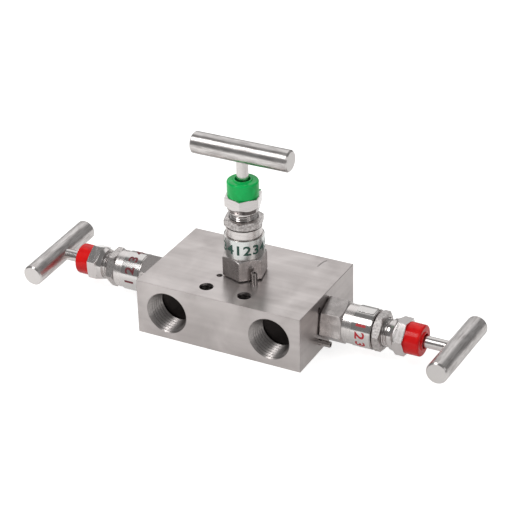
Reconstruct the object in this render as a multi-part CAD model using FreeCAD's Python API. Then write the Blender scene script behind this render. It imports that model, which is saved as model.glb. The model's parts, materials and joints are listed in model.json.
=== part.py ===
import FreeCAD, Part
import math
import os

from FreeCAD import Placement, Rotation, Vector

# Three-valve instrument manifold, all lengths in millimetres, angles in degrees.
# The frame's origin is the centre of the block's bottom face. X runs along the block from
# the left isolating valve to the right one, Y from the process side to the instrument side,
# and Z up towards the equalising valve.

# Block
block_length = 86.0
block_depth = 58.0
block_height = 28.0
block_edge_break = 0.2

# Pipe ports, two on the process side and two on the instrument side
port_spacing = 54.0
port_thread_radius = 10.3
port_mouth_radius = 10.65
port_thread_depth = 14.0
drill_point_angle = 118.0

# Tapped mounting holes in the top face, near the process side
mount_hole_radius = 3.4
mount_hole_spacing = 20.0
mount_hole_inset = 9.0
mount_hole_depth = 14.0

# Valve station cut into the block: bonnet pocket, chamber round the tip, seat and its bore
pocket_radius = 8.0
pocket_depth = 11.0
chamber_radius = 4.5
chamber_depth = 5.0
seat_radius = 2.2
seat_bore_depth = 6.0
passage_radius = 1.5
passage_below_seat = 4.0

# Slotted roll pin that locks each bonnet, in its hole beside the hexagon
pin_radius = 1.5
pin_wall = 0.55
pin_slot_width = 0.6
pin_stand = 6.0
pin_hole_depth = 6.0
pin_circle_radius = 12.4
pin_slot_turn = 40.0

# Bonnet, measured outwards from the block's face
bonnet_gap = 0.6
bonnet_hex_flats = 19.0
bonnet_hex_length = 10.6
bonnet_barrel_radius = 9.35
bonnet_barrel_length = 14.6
bonnet_edge_break = 0.3
seal_thickness = 0.8
guide_length = 12.2

# Gland: packing rings, thrust bush and the adjuster that presses them
packing_radius = 5.5
packing_ring_count = 3
packing_ring_thickness = 3.0
bush_length = 6.0
bush_flange_radius = 6.5
bush_flange_thickness = 1.8
gland_thread_radius = 6.9
gland_neck_length = 3.8
gland_relief_radius = 6.3
gland_relief_length = 1.0
gland_hex_flats = 16.0
gland_hex_length = 7.5
gland_boss_radius = 6.3
gland_boss_length = 5.0
back_stop_depth = 3.4

# Lock nut on the adjuster's thread, a little clear of the bonnet's end
lock_nut_flats = 17.0
lock_nut_thickness = 4.3
lock_nut_gap = 0.1

# Moulded dust cap over the adjuster's boss
cap_radius = 7.6
cap_length = 7.4
cap_roof = 2.2
cap_edge_break = 0.9
cap_lip_radius = 4.35
cap_lip_height = 0.6
cap_lip_draft = 0.2
cap_hole_radius = 3.7

# Printed identity band round the bonnet's barrel
band_wall = 0.2
band_width = 9.5

# Spindle and the tip that it carries, at the closed position
stem_radius = 3.0
stem_depth = 8.0
spindle_thread_radius = 4.0
spindle_thread_length = 12.0
spindle_thread_pitch = 1.0
turns_of_travel = 4.0
spindle_top_radius = 2.85
thread_edge_break = 0.4
tip_radius = 2.9
tip_point_radius = 1.0
tip_cone_half_angle = 30.0
tip_stub_radius = 1.45
tip_stub_length = 3.9

# Tee bar, pushed on the spindle and held by a grub screw
bar_radius = 5.25
bar_length = 50.0
bar_end_break = 0.7
bar_height_closed = 61.9
bar_hole_past_centre = 2.6
screw_radius = 1.5
screw_socket_flats = 1.5
screw_socket_depth = 1.2
screw_sunk = 0.3
spindle_flat_depth = 0.5

# Clearances
fit_gap = 0.05
bore_gap = 0.1
seat_gap = 0.03
pin_gap = 0.02

# Chamfers on hexagon corners: how far inside the flats they start, and their slope
corner_inset = 0.3
corner_slope = 30.0
lock_nut_corner_inset = 0.6
lock_nut_corner_slope = 35.0
gland_neck_corner_inset = 1.1
gland_neck_corner_slope = 50.0

# How far a cutting shape runs past the face that it opens
overrun = 1.0

# Each valve: how it leaves the block, how far it is open, and how its pieces stand in turn.
# Angles are round the valve's own axis from its local X. A second pin hole beside each bonnet
# stays empty. band_offset is the bare barrel between the hexagon and the printed band.
valves = {
    "isolate_left": {
        "axis_tilt": -90.0, "turns_open": 0.6, "bar_angle": 87.8, "screw_side": 90.0,
        "hex_corner": 2.5, "lock_corner": 24.0, "gland_corner": -12.0, "pin_angle": -132.0,
        "spare_hole_angle": -48.0, "band_offset": 0.6,
    },
    "isolate_right": {
        "axis_tilt": 90.0, "turns_open": 3.1, "bar_angle": 87.1, "screw_side": -90.0,
        "hex_corner": 50.0, "lock_corner": 23.0, "gland_corner": 26.0, "pin_angle": -48.0,
        "spare_hole_angle": -134.0, "band_offset": 4.7,
    },
    "equalise": {
        "axis_tilt": 0.0, "turns_open": 1.3, "bar_angle": 0.0, "screw_side": 90.0,
        "hex_corner": 43.0, "lock_corner": 44.0, "gland_corner": 46.0, "pin_angle": -42.0,
        "spare_hole_angle": -140.0, "band_offset": 0.5,
    },
}

# Worked out from the values above. Heights are along a valve's axis from the block's face.
port_height = block_height / 2.0
seat_height = -(pocket_depth + chamber_depth)
shank_end = -(pocket_depth - seal_thickness)
hex_start = bonnet_gap
barrel_start = hex_start + bonnet_hex_length
barrel_end = barrel_start + bonnet_barrel_length
packing_start = shank_end + guide_length
bush_start = packing_start + packing_ring_count * packing_ring_thickness
bush_end = bush_start + bush_length
lock_nut_start = barrel_end + lock_nut_gap
gland_hex_start = lock_nut_start + lock_nut_thickness + gland_neck_length
gland_hex_end = gland_hex_start + gland_hex_length
boss_end = gland_hex_end + gland_boss_length
travel = turns_of_travel * spindle_thread_pitch
back_stop_height = gland_hex_end - back_stop_depth
thread_top = back_stop_height - travel - bore_gap
thread_bottom = thread_top - spindle_thread_length


def turned(outline):
    """Solid of revolution round Z from (radius, height) corners."""
    corners = [Vector(radius, 0, height) for radius, height in outline]
    wire = Part.makePolygon(corners + [corners[0]])
    return Part.Face(wire).revolve(Vector(0, 0, 0), Vector(0, 0, 1), 360)


def rod(radius, start, end):
    return Part.makeCylinder(radius, end - start, Vector(0, 0, start))


def drilled(radius, start, end):
    """Plain drilled hole between two points."""
    return Part.makeCylinder(radius, (end - start).Length, start, end - start)


def hexagon_prism(flats, start, end, corner_angle):
    corner_radius = flats / math.sqrt(3.0)
    corners = []
    for side in range(6):
        angle = math.radians(corner_angle + 60.0 * side)
        corners.append(Vector(corner_radius * math.cos(angle), corner_radius * math.sin(angle), start))
    wire = Part.makePolygon(corners + [corners[0]])
    return Part.Face(wire).extrude(Vector(0, 0, end - start))


def chamfered_hexagon(flats, start, end, corner_angle, inner=None, outer=None):
    """Hexagon whose corners are turned off at either end; each chamfer is (inset, slope)."""
    reach = flats / math.sqrt(3.0) + overrun
    outline = [(0, start)]
    if inner:
        inset, slope = inner
        rim = flats / 2.0 - inset
        outline.append((rim, start))
        outline.append((reach, start + (reach - rim) * math.tan(math.radians(slope))))
    else:
        outline.append((reach, start))
    if outer:
        inset, slope = outer
        rim = flats / 2.0 - inset
        outline.append((reach, end - (reach - rim) * math.tan(math.radians(slope))))
        outline.append((rim, end))
    else:
        outline.append((reach, end))
    outline.append((0, end))
    return hexagon_prism(flats, start, end, corner_angle).common(turned(outline))


def round_point(radius, angle):
    turn = math.radians(angle)
    return Vector(radius * math.cos(turn), radius * math.sin(turn), 0)


def pipe_port():
    """Port cutter along +Z from the block's face inwards: mouth, thread bore and drill point."""
    mouth_depth = port_mouth_radius - port_thread_radius
    point_depth = port_thread_radius / math.tan(math.radians(drill_point_angle / 2.0))
    return turned([
        (0, -overrun),
        (port_mouth_radius, -overrun),
        (port_mouth_radius, 0),
        (port_thread_radius, mouth_depth),
        (port_thread_radius, port_thread_depth),
        (0, port_thread_depth + point_depth),
    ])


def blind_hole(radius, depth):
    """Drilled blind hole down -Z from the face, with its drill point."""
    point_depth = radius / math.tan(math.radians(drill_point_angle / 2.0))
    return turned([(0, overrun), (radius, overrun), (radius, -depth), (0, -depth - point_depth)])


def valve_station(valve):
    """What one valve needs cut into the block, down -Z from the face."""
    cuts = [turned([
        (0, overrun),
        (pocket_radius, overrun),
        (pocket_radius, -pocket_depth),
        (chamber_radius, -pocket_depth),
        (chamber_radius, seat_height),
        (seat_radius, seat_height),
        (seat_radius, seat_height - seat_bore_depth),
        (0, seat_height - seat_bore_depth),
    ])]
    for angle in (valve["pin_angle"], valve["spare_hole_angle"]):
        pin_hole = blind_hole(pin_radius + pin_gap, pin_hole_depth)
        pin_hole.translate(round_point(pin_circle_radius, angle))
        cuts.append(pin_hole)
    return Part.makeCompound(cuts)


def station_placement(valve):
    """From a valve's own axis, Z outwards from the block's face, to the block's frame."""
    tilt = valve["axis_tilt"]
    if tilt == 0.0:
        return Placement(Vector(0, 0, block_height), Rotation())
    side = 1.0 if tilt > 0 else -1.0
    face = Vector(side * block_length / 2.0, 0, port_height)
    return Placement(face, Rotation(Vector(0, 1, 0), tilt))


def placed(shape, valve):
    moved = shape.copy()
    moved.Placement = station_placement(valve).multiply(moved.Placement)
    return moved


def valve_block():
    block = Part.makeBox(
        block_length, block_depth, block_height, Vector(-block_length / 2.0, -block_depth / 2.0, 0)
    )
    block = block.makeChamfer(block_edge_break, block.Edges)
    cuts = []
    for valve in valves.values():
        cuts.append(placed(valve_station(valve), valve))

    chamber_reach = block_length / 2.0 - pocket_depth - chamber_depth / 2.0
    seat_bore_reach = block_length / 2.0 + seat_height - passage_below_seat
    port_end = block_depth / 2.0 - port_thread_depth
    for side in (-1.0, 1.0):
        port_x = side * port_spacing / 2.0
        for facing, turn in ((-1.0, -90.0), (1.0, 90.0)):
            port = pipe_port()
            port.Placement = Placement(
                Vector(port_x, facing * block_depth / 2.0, port_height), Rotation(Vector(1, 0, 0), turn)
            )
            cuts.append(port)
        # Process side opens into the tip chamber, instrument side into the seat bore
        cuts.append(drilled(
            passage_radius,
            Vector(side * chamber_reach, -port_end, port_height),
            Vector(side * chamber_reach, 0, port_height),
        ))
        cuts.append(drilled(
            passage_radius,
            Vector(side * seat_bore_reach, port_end, port_height),
            Vector(side * seat_bore_reach, 0, port_height),
        ))
        hole = blind_hole(mount_hole_radius, mount_hole_depth)
        hole.translate(Vector(
            side * mount_hole_spacing / 2.0, mount_hole_inset - block_depth / 2.0, block_height
        ))
        cuts.append(hole)

    # Angled drillings from the instrument ports join the two sides at the equalising valve
    chamber_level = block_height - pocket_depth - chamber_depth / 2.0
    bore_level = block_height + seat_height - passage_below_seat
    for side, level in ((-1.0, chamber_level), (1.0, bore_level)):
        cuts.append(drilled(
            passage_radius, Vector(side * port_spacing / 2.0, port_end, port_height), Vector(0, 0, level)
        ))
    return block.cut(cuts)


def bonnet(valve):
    """Bonnet: shank in the pocket, hexagon over the face, barrel with the gland thread."""
    body = rod(pocket_radius - fit_gap, shank_end, barrel_start)
    body = body.fuse(chamfered_hexagon(
        bonnet_hex_flats, hex_start, barrel_start, valve["hex_corner"],
        outer=(corner_inset, corner_slope),
    ))
    body = body.fuse(turned([
        (0, hex_start),
        (bonnet_barrel_radius, hex_start),
        (bonnet_barrel_radius, barrel_end - bonnet_edge_break),
        (bonnet_barrel_radius - bonnet_edge_break, barrel_end),
        (0, barrel_end),
    ]))
    thread_run_out = (bush_start + bush_end) / 2.0
    bore = turned([
        (0, shank_end - overrun),
        (stem_radius + fit_gap, shank_end - overrun),
        (stem_radius + fit_gap, packing_start),
        (packing_radius, packing_start),
        (packing_radius, thread_run_out),
        (gland_thread_radius + fit_gap, thread_run_out),
        (gland_thread_radius + fit_gap, barrel_end + overrun),
        (0, barrel_end + overrun),
    ])
    return body.cut(bore).removeSplitter()


def bonnet_seal(valve):
    """Flat ring that the bonnet's shank clamps on the pocket floor."""
    return rod(pocket_radius - fit_gap, -pocket_depth, shank_end).cut(
        rod(chamber_radius + bore_gap, -pocket_depth - overrun, shank_end + overrun)
    )


def locking_pin(valve):
    """Rolled spring pin, open along one side."""
    pin = rod(pin_radius, -pin_hole_depth, pin_stand)
    pin = pin.cut(rod(pin_radius - pin_wall, -pin_hole_depth - overrun, pin_stand + overrun))
    slot = Part.makeBox(
        2.0 * pin_radius, pin_slot_width, pin_stand + pin_hole_depth + 2.0 * overrun,
        Vector(0, -pin_slot_width / 2.0, -pin_hole_depth - overrun),
    )
    pin = pin.cut(slot)
    pin.rotate(Vector(0, 0, 0), Vector(0, 0, 1), valve["pin_angle"] + pin_slot_turn)
    pin.translate(round_point(pin_circle_radius, valve["pin_angle"]))
    return pin


def id_band(valve):
    inner = bonnet_barrel_radius + fit_gap
    start = barrel_start + valve["band_offset"]
    return rod(inner + band_wall, start, start + band_width).cut(
        rod(inner, start - overrun, start + band_width + overrun)
    )


def gland_packing(valve):
    """Stack of square-section rings round the stem, face to face."""
    rings = []
    for number in range(packing_ring_count):
        start = packing_start + number * packing_ring_thickness
        ring = rod(packing_radius - fit_gap, start, start + packing_ring_thickness)
        hole = rod(stem_radius + fit_gap, start - overrun, start + packing_ring_thickness + overrun)
        rings.append(ring.cut(hole))
    return Part.makeCompound(rings)


def thrust_bush(valve):
    flange_start = bush_end - bush_flange_thickness
    bore_radius = stem_radius + bore_gap
    return turned([
        (bore_radius, bush_start),
        (packing_radius - fit_gap, bush_start),
        (packing_radius - fit_gap, flange_start),
        (bush_flange_radius, flange_start),
        (bush_flange_radius, bush_end),
        (bore_radius, bush_end),
    ])


def gland_adjuster(valve):
    """Threaded neck with its relief groove, hexagon, and the boss that carries the dust cap."""
    relief_start = gland_hex_start - gland_relief_length
    body = rod(gland_thread_radius, bush_end, relief_start)
    body = body.fuse(rod(gland_relief_radius, relief_start - overrun, gland_hex_start + overrun))
    body = body.fuse(chamfered_hexagon(
        gland_hex_flats, gland_hex_start, gland_hex_end, valve["gland_corner"],
        inner=(gland_neck_corner_inset, gland_neck_corner_slope), outer=(corner_inset, corner_slope),
    ))
    body = body.fuse(rod(gland_boss_radius, gland_hex_end - overrun, boss_end))
    bore = turned([
        (0, bush_end - overrun),
        (spindle_thread_radius + fit_gap, bush_end - overrun),
        (spindle_thread_radius + fit_gap, back_stop_height),
        (spindle_top_radius + bore_gap, back_stop_height),
        (spindle_top_radius + bore_gap, boss_end + overrun),
        (0, boss_end + overrun),
    ])
    return body.cut(bore)


def lock_nut(valve):
    end = lock_nut_start + lock_nut_thickness
    nut = chamfered_hexagon(
        lock_nut_flats, lock_nut_start, end, valve["lock_corner"],
        inner=(corner_inset, corner_slope), outer=(lock_nut_corner_inset, lock_nut_corner_slope),
    )
    return nut.cut(rod(gland_thread_radius + fit_gap, lock_nut_start - overrun, end + overrun))


def dust_cap(valve):
    """Moulded cap: skirt over the boss, bevelled rim and a raised lip round the spindle hole."""
    top = gland_hex_end + cap_length
    roof = top - cap_roof
    skirt = gland_boss_radius + fit_gap
    return turned([
        (skirt, gland_hex_end),
        (cap_radius, gland_hex_end),
        (cap_radius, top - cap_edge_break),
        (cap_radius - cap_edge_break, top),
        (cap_lip_radius + cap_lip_draft, top),
        (cap_lip_radius, top + cap_lip_height),
        (cap_hole_radius, top + cap_lip_height),
        (cap_hole_radius, roof),
        (skirt, roof),
    ])


def spindle(valve):
    """Spindle at the closed position: stem through the packing, thread, and handle end."""
    end = bar_height_closed + bar_hole_past_centre - fit_gap
    body = turned([
        (0, -stem_depth),
        (stem_radius, -stem_depth),
        (stem_radius, thread_bottom),
        (spindle_thread_radius - thread_edge_break, thread_bottom),
        (spindle_thread_radius, thread_bottom + thread_edge_break),
        (spindle_thread_radius, thread_top - thread_edge_break),
        (spindle_thread_radius - thread_edge_break, thread_top),
        (spindle_top_radius, thread_top),
        (spindle_top_radius, end),
        (0, end),
    ])
    socket_end = -stem_depth + tip_stub_length + fit_gap
    body = body.cut(rod(tip_stub_radius + fit_gap, -stem_depth - overrun, socket_end))
    flat_reach = 2.0 * spindle_top_radius
    flat = Part.makeBox(
        flat_reach, 2.0 * flat_reach, 3.0 * screw_radius,
        Vector(spindle_top_radius - spindle_flat_depth, -flat_reach, bar_height_closed - 1.5 * screw_radius),
    )
    flat.rotate(Vector(0, 0, 0), Vector(0, 0, 1), valve["bar_angle"] + valve["screw_side"])
    return body.cut(flat)


def spindle_tip(valve):
    """Tip that slides without turning: stub up in the stem, plain body and seating cone."""
    slope = math.tan(math.radians(tip_cone_half_angle))
    seat_line_radius = seat_radius - seat_gap
    cone_top = seat_height + (tip_radius - seat_line_radius) / slope
    cone_bottom = seat_height - (seat_line_radius - tip_point_radius) / slope
    shoulder = -stem_depth - fit_gap
    return turned([
        (0, cone_bottom),
        (tip_point_radius, cone_bottom),
        (tip_radius, cone_top),
        (tip_radius, shoulder),
        (tip_stub_radius, shoulder),
        (tip_stub_radius, -stem_depth + tip_stub_length),
        (0, -stem_depth + tip_stub_length),
    ])


def tee_bar(valve):
    """Round bar across the spindle's end, bored from below and drilled for its grub screw."""
    half = bar_length / 2.0
    bar = turned([
        (0, -half),
        (bar_radius - bar_end_break, -half),
        (bar_radius, -half + bar_end_break),
        (bar_radius, half - bar_end_break),
        (bar_radius - bar_end_break, half),
        (0, half),
    ])
    bar.rotate(Vector(0, 0, 0), Vector(0, 1, 0), 90.0)
    bar = bar.cut(rod(spindle_top_radius + fit_gap, -bar_radius - overrun, bar_hole_past_centre))
    side = math.copysign(1.0, valve["screw_side"])
    bar = bar.cut(drilled(
        screw_radius + fit_gap, Vector(0, 0, 0), Vector(0, side * (bar_radius + overrun), 0)
    ))
    bar.rotate(Vector(0, 0, 0), Vector(0, 0, 1), valve["bar_angle"])
    bar.translate(Vector(0, 0, bar_height_closed))
    return bar


def bar_screw(valve):
    """Socket grub screw, from the flat on the spindle to just below the bar's surface."""
    start = spindle_top_radius - spindle_flat_depth + fit_gap
    end = bar_radius - screw_sunk
    screw = rod(screw_radius, start, end)
    screw = screw.cut(hexagon_prism(screw_socket_flats, end - screw_socket_depth, end + overrun, 0.0))
    screw.rotate(Vector(0, 0, 0), Vector(0, 1, 0), 90.0)
    screw.rotate(Vector(0, 0, 0), Vector(0, 0, 1), valve["bar_angle"] + valve["screw_side"])
    screw.translate(Vector(0, 0, bar_height_closed))
    return screw


fixed_pieces = {
    "bonnet": bonnet,
    "bonnet_seal": bonnet_seal,
    "locking_pin": locking_pin,
    "id_band": id_band,
    "gland_packing": gland_packing,
    "thrust_bush": thrust_bush,
    "gland_adjuster": gland_adjuster,
    "lock_nut": lock_nut,
    "dust_cap": dust_cap,
}
moving_pieces = {
    "spindle": spindle,
    "spindle_tip": spindle_tip,
    "tee_bar": tee_bar,
    "bar_screw": bar_screw,
}


def build():
    """Every node by name, each valve's moving pieces drawn out by its turns open."""
    nodes = {"valve_block": valve_block()}
    for name, valve in valves.items():
        for piece, make in fixed_pieces.items():
            nodes[name + "_" + piece] = placed(make(valve), valve)
        opened = Placement(Vector(0, 0, valve["turns_open"] * spindle_thread_pitch), Rotation())
        for piece, make in moving_pieces.items():
            shape = make(valve)
            shape.Placement = opened.multiply(shape.Placement)
            nodes[name + "_" + piece] = placed(shape, valve)
    return nodes


os.makedirs("parts", exist_ok=True)
for node, shape in build().items():
    shape.exportStep("parts/" + node + ".step")
    print(node, len(shape.Solids), round(shape.Volume, 1))
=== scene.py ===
import bmesh
import bpy
import json
import math
from math import radians
from mathutils import Matrix, Vector


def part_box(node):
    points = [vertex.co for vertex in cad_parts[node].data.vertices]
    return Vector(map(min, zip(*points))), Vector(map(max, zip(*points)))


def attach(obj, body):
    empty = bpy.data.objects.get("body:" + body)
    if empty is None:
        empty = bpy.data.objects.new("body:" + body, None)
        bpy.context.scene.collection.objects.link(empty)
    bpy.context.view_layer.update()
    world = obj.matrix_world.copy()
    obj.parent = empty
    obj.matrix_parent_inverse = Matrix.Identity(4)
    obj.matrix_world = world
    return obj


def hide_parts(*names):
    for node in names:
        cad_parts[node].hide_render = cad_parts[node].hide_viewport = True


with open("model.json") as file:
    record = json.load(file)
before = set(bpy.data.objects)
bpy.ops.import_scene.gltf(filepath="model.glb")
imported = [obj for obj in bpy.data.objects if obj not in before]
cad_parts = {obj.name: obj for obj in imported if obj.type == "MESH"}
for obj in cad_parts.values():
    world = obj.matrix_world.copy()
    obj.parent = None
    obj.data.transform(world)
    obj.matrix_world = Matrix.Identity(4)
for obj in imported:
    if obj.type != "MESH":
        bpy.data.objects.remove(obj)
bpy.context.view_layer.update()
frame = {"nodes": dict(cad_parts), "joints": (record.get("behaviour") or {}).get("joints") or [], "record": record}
print("stage: frame loaded,", len(frame["nodes"]), "nodes")

mm = 0.001
fullTurn = 2 * math.pi
rootBody = "manifold_body"
joints = {joint["name"]: joint for joint in frame["joints"]}
slotOf = {row["node"]: row["material_slot"] for row in frame["record"]["subparts"]}


# Small helpers

def hexColour(text):
    # sRGB hex to the linear colour that shaders take
    channels = []
    for start in (0, 2, 4):
        value = int(text[start:start + 2], 16) / 255.0
        channels.append(value / 12.92 if value <= 0.04045 else ((value + 0.055) / 1.055) ** 2.4)
    return (*channels, 1.0)


def addNode(tree, kind, settings=None, inputs=None):
    # inputs takes a plain value or another node's output socket for each input
    node = tree.nodes.new(kind)
    for name, value in (settings or {}).items():
        setattr(node, name, value)
    for name, value in (inputs or {}).items():
        if isinstance(value, bpy.types.NodeSocket):
            tree.links.new(value, node.inputs[name])
        else:
            node.inputs[name].default_value = value
    return node


def newMaterial(name):
    # an empty node tree with its output, ready for a shader
    material = bpy.data.materials.new(name)
    material.use_nodes = True
    material.node_tree.nodes.clear()
    output = addNode(material.node_tree, "ShaderNodeOutputMaterial")
    return material, material.node_tree, output


def onDirection(azimuth, elevation):
    # unit vector: azimuth 0 looks towards the viewer's side, -Y, and grows to the right, +X
    flat = math.cos(radians(elevation))
    return Vector((
        math.sin(radians(azimuth)) * flat,
        -math.cos(radians(azimuth)) * flat,
        math.sin(radians(elevation)),
    ))


# Camera

cameraSetup = {
    "azimuth": 28.137, "elevation": 28.960, "roll": -1.430,
    "distance": 856.68, "aimRight": -4.470, "aimUp": -32.077, "lens": 125.206,
    "sensor": 36.0, "nearest": 0.02,
}


def makeCamera(setup):
    back = onDirection(setup["azimuth"], setup["elevation"])
    level = Vector((0, 0, 1)).cross(back).normalized()
    upright = back.cross(level)
    roll = radians(setup["roll"])
    right = math.cos(roll) * level + math.sin(roll) * upright
    up = math.cos(roll) * upright - math.sin(roll) * level
    data = bpy.data.cameras.new("camera")
    data.lens = setup["lens"]
    data.sensor_width = setup["sensor"]
    data.clip_start = setup["nearest"]
    camera = bpy.data.objects.new("camera", data)
    place = (back * setup["distance"] - right * setup["aimRight"] - up * setup["aimUp"]) * mm
    camera.matrix_world = Matrix.Translation(place) @ Matrix((right, up, back)).transposed().to_4x4()
    bpy.context.scene.collection.objects.link(camera)
    bpy.context.scene.camera = camera


makeCamera(cameraSetup)
bpy.context.scene.view_settings.view_transform = "Standard"
print("stage: camera set")


# Studio: pale floor, white surround, one soft box high on the left

studio = {
    "floorRadius": 0.70, "floorGrey": "D4D4D3", "glowSeen": 0.74, "surroundSeen": 1.0,
    # the table's mirrored glow carries painted shade: dimmer near the part and on its right
    "glowNear": 0.27, "glowFar": 0.50, "nearReach": 0.065, "farReach": 0.125,
    "shadeFrom": 0.03, "shadeTo": 0.09, "rightShade": 0.7,
    "boxAzimuth": -36.2, "boxElevation": 53.3, "boxDistance": 0.95,
    "boxWidth": 0.283, "boxHeight": 0.45, "boxPower": 2.2,
    "fill": 0.664, "room": 0.224, "panelFoot": 4, "panelClear": 25,
}

# bright panels that the metals mirror: behind on the right, behind on the left, and off to the
# right. Each fades out between its inner and its outer angle, in degrees from its middle.
panels = (
    {"azimuth": 150, "elevation": 30, "inner": 12, "outer": 26, "strength": 0.36},
    {"azimuth": -145, "elevation": 31, "inner": 27, "outer": 42, "strength": 1.024},
    {"azimuth": 70, "elevation": 28, "inner": 8, "outer": 18, "strength": 1.6},
)


def makeFloor():
    bm = bmesh.new()
    bmesh.ops.create_circle(bm, cap_ends=True, segments=96, radius=studio["floorRadius"])
    mesh = bpy.data.meshes.new("studio_floor")
    bm.to_mesh(mesh)
    bm.free()
    floor = bpy.data.objects.new("studio_floor", mesh)
    bpy.context.scene.collection.objects.link(floor)
    material, tree, output = newMaterial("matte white table")
    path = addNode(tree, "ShaderNodeLightPath")
    # the table's glow that metals mirror has painted shade in it: it stands in for the part shading the table
    # round its foot, so metals see it brighter further out, and dimmer on the side away from the soft box
    place = addNode(tree, "ShaderNodeTexCoord").outputs["Object"]
    reach = addNode(tree, "ShaderNodeVectorMath", {"operation": "LENGTH"}, {0: place})
    spread = addNode(tree, "ShaderNodeMapRange", {"interpolation_type": "SMOOTHSTEP"}, {
        "Value": reach.outputs["Value"],
        "From Min": studio["nearReach"], "From Max": studio["farReach"],
        "To Min": studio["glowNear"], "To Max": studio["glowFar"],
    })
    sideways = addNode(tree, "ShaderNodeSeparateXYZ", None, {0: place}).outputs["X"]
    paintedSideShade = addNode(tree, "ShaderNodeMapRange", {"interpolation_type": "SMOOTHSTEP"}, {
        "Value": sideways, "From Min": studio["shadeFrom"], "From Max": studio["shadeTo"],
        "To Min": 1.0, "To Max": studio["rightShade"],
    })
    paintedShadeGlow = addNode(tree, "ShaderNodeMath", {"operation": "MULTIPLY"}, {
        0: paintedSideShade.outputs[0], 1: spread.outputs[0],
    })
    mirrored = addNode(tree, "ShaderNodeMath", {"operation": "MULTIPLY"}, {
        0: path.outputs["Is Glossy Ray"], 1: paintedShadeGlow.outputs[0],
    })
    glow = addNode(tree, "ShaderNodeMath", {"operation": "MULTIPLY_ADD"}, {
        0: path.outputs["Is Camera Ray"], 1: studio["glowSeen"], 2: mirrored.outputs[0],
    })
    diffuse = addNode(tree, "ShaderNodeBsdfDiffuse", None, {
        "Color": hexColour(studio["floorGrey"]),
    })
    shine = addNode(tree, "ShaderNodeEmission", None, {"Strength": glow.outputs[0]})
    both = addNode(tree, "ShaderNodeAddShader", None, {0: diffuse.outputs[0], 1: shine.outputs[0]})
    tree.links.new(both.outputs[0], output.inputs["Surface"])
    mesh.materials.append(material)


def makeSoftBox():
    data = bpy.data.lights.new("soft_box", "AREA")
    data.shape = "RECTANGLE"
    data.size = studio["boxWidth"]
    data.size_y = studio["boxHeight"]
    data.energy = studio["boxPower"]
    lamp = bpy.data.objects.new("soft_box", data)
    # its upright edges run square to X, so the barrels along X all mirror it alike
    away = onDirection(studio["boxAzimuth"], studio["boxElevation"])
    upright = away.cross(Vector((1, 0, 0))).normalized()
    turned = Matrix((upright.cross(away), upright, away)).transposed().to_4x4()
    lamp.matrix_world = Matrix.Translation(away * studio["boxDistance"]) @ turned
    bpy.context.scene.collection.objects.link(lamp)


def panelMask(tree, direction, panel):
    # 1 within the panel's inner angle, 0 beyond its outer one
    dot = addNode(tree, "ShaderNodeVectorMath", {"operation": "DOT_PRODUCT"}, {
        0: direction, 1: onDirection(panel["azimuth"], panel["elevation"]),
    })
    fade = addNode(tree, "ShaderNodeMapRange", {"interpolation_type": "SMOOTHSTEP"}, {
        "Value": dot.outputs["Value"],
        "From Min": math.cos(radians(panel["outer"])), "From Max": math.cos(radians(panel["inner"])),
    })
    return fade.outputs[0]


def makeSurround():
    world = bpy.data.worlds.new("white surround")
    bpy.context.scene.world = world
    world.use_nodes = True
    tree = world.node_tree
    tree.nodes.clear()
    output = addNode(tree, "ShaderNodeOutputWorld")
    path = addNode(tree, "ShaderNodeLightPath")
    direction = addNode(tree, "ShaderNodeTexCoord").outputs["Generated"]
    # a dim room whose panels stand clear of the table
    mirrored = studio["room"]
    height = addNode(tree, "ShaderNodeSeparateXYZ", None, {0: direction}).outputs["Z"]
    aboveTable = addNode(tree, "ShaderNodeMapRange", {"interpolation_type": "SMOOTHSTEP"}, {
        "Value": height, "From Min": math.sin(radians(studio["panelFoot"])),
        "From Max": math.sin(radians(studio["panelClear"])),
    })
    for panel in panels:
        mask = addNode(tree, "ShaderNodeMath", {"operation": "MULTIPLY"}, {
            0: panelMask(tree, direction, panel), 1: aboveTable.outputs[0],
        })
        mirrored = addNode(tree, "ShaderNodeMix", {"data_type": "FLOAT"}, {
            0: mask.outputs[0], 2: mirrored, 3: panel["strength"],
        }).outputs[0]
    diffuseRay = addNode(tree, "ShaderNodeMix", {"data_type": "FLOAT"}, {
        0: path.outputs["Is Diffuse Ray"], 2: mirrored, 3: studio["fill"],
    })
    cameraRay = addNode(tree, "ShaderNodeMix", {"data_type": "FLOAT"}, {
        0: path.outputs["Is Camera Ray"], 2: diffuseRay.outputs[0], 3: studio["surroundSeen"],
    })
    background = addNode(tree, "ShaderNodeBackground", None, {
        "Color": (1, 1, 1, 1), "Strength": cameraRay.outputs[0],
    })
    tree.links.new(background.outputs[0], output.inputs["Surface"])


makeFloor()
makeSoftBox()
makeSurround()
print("stage: studio set")


# Finishes. Patterns read a piece's own "place" in mm, with Z along its axis: an attribute on
# the pieces modelled here, and Object coordinates turned into the same axes on the others.

# nearly all of a noise pattern lies between these
noiseLow = 0.3
noiseHigh = 0.7


def placeInMm(tree, ownFrame=None):
    if ownFrame is None:
        return addNode(tree, "ShaderNodeAttribute", {"attribute_name": "place"}).outputs["Vector"]
    coordinates = addNode(tree, "ShaderNodeTexCoord").outputs["Object"]
    inwards = ownFrame.inverted()
    turned = addNode(tree, "ShaderNodeMapping", None, {
        "Vector": coordinates, "Scale": (1 / mm, 1 / mm, 1 / mm),
        "Rotation": inwards.to_euler(), "Location": inwards.translation,
    })
    return turned.outputs[0]


def steelTone(tree, look, pattern, wear=None):
    # colour from dull to pale and roughness from roughest to smoothest, both after one noise
    # pattern; the colour follows a 0 to 1 wear instead where there is one
    colour = addNode(tree, "ShaderNodeMix", {"data_type": "RGBA"}, {
        0: wear or pattern, 6: hexColour(look["dull"]), 7: hexColour(look["pale"]),
    })
    roughness = addNode(tree, "ShaderNodeMapRange", None, {
        "Value": pattern, "From Min": noiseLow, "From Max": noiseHigh,
        "To Min": look["roughest"], "To Max": look["smoothest"],
    })
    return colour.outputs[2], roughness.outputs[0]


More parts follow.
